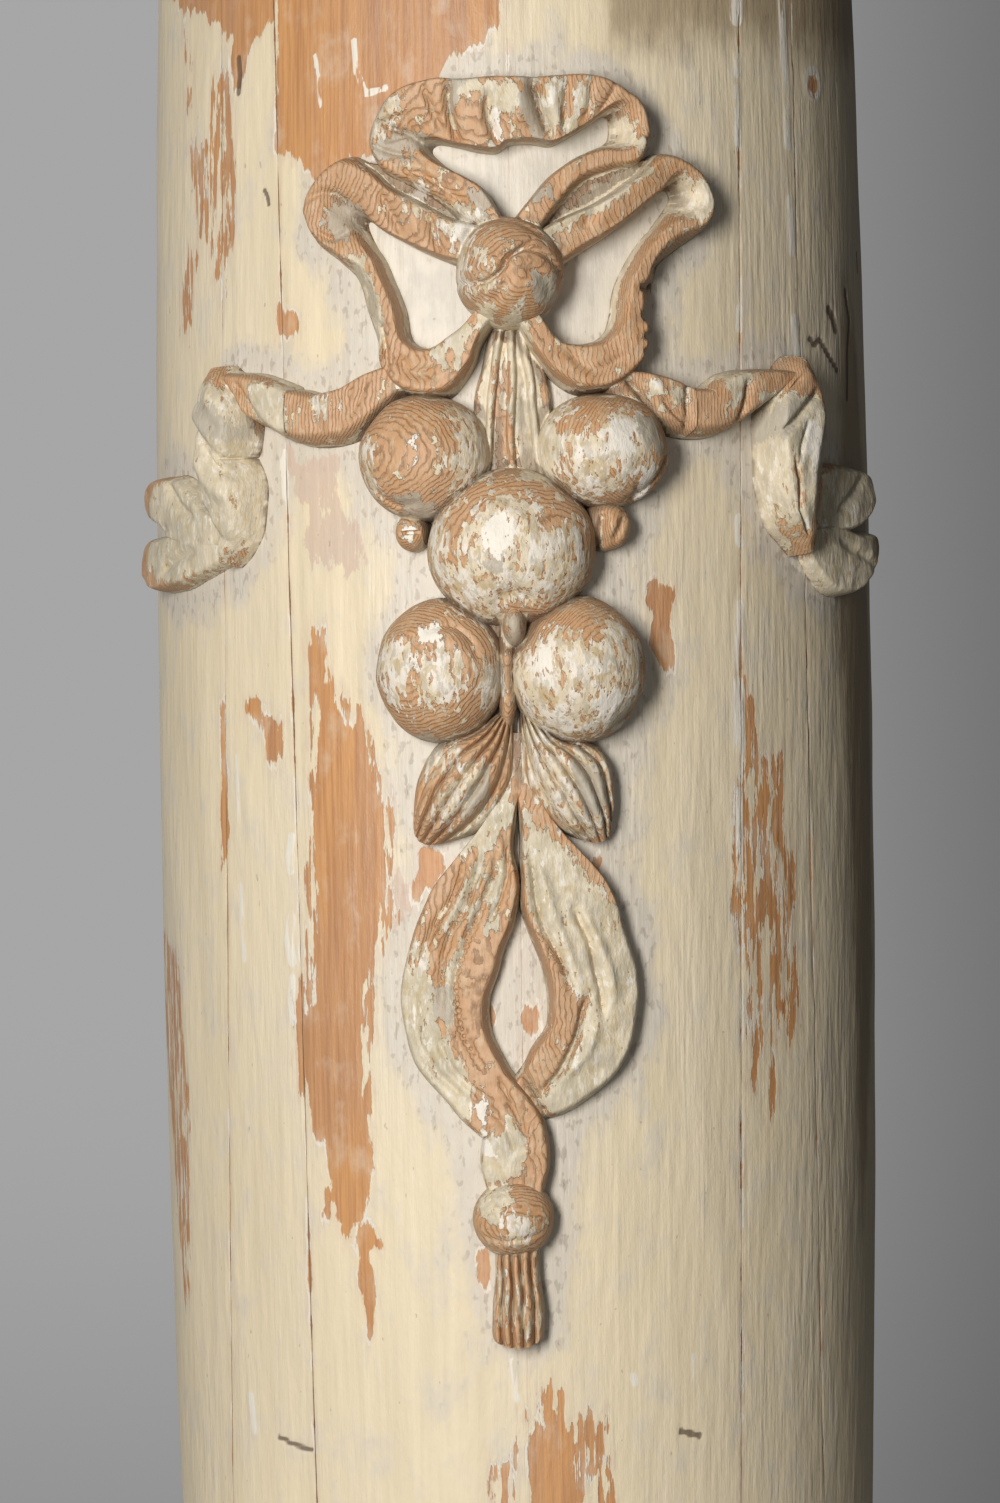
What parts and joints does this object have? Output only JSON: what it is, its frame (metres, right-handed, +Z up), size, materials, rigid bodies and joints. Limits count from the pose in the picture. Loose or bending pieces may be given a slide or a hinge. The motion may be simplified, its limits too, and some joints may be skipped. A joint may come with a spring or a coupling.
{
  "type": "carved wooden column shaft",
  "caption": "Length of hollow round wooden column shaft with slight swelling and an applied carved festoon of ribbon bow, fruit, leaves and tassel, in worn cream paint.",
  "frame": {"origin": "centre of the part's bounding box in plan, on the shaft's flat foot", "axes": "+Z up the shaft, -Y out of the front that carries the carving, +X to the right as seen from the front"},
  "size_m": [0.3684, 0.3938, 1],
  "materials": {
    "shaft_paint": "worn cream oil paint, brushed, chipped along the joints, with bare orange-brown pine in patches",
    "festoon_paint": "carved pine with its growth rings showing, under patches of cream, grey and white paint",
    "ribbon_paint": "carved pine under worn grey-white paint, bare on the edges"
  },
  "bodies": {
    "root": {"front_right_stave": "shaft_paint", "right_front_strip": "shaft_paint", "right_forward_stave": "shaft_paint", "right_rear_stave": "shaft_paint", "right_rear_strip": "shaft_paint", "rear_right_stave": "shaft_paint", "rear_left_stave": "shaft_paint", "left_rear_strip": "shaft_paint", "left_rear_stave": "shaft_paint", "left_forward_stave": "shaft_paint", "left_front_strip": "shaft_paint", "front_left_stave": "shaft_paint", "festoon_carving": "festoon_paint", "left_ribbon_end": "ribbon_paint", "right_ribbon_end": "ribbon_paint"}
  },
  "joints": []
}
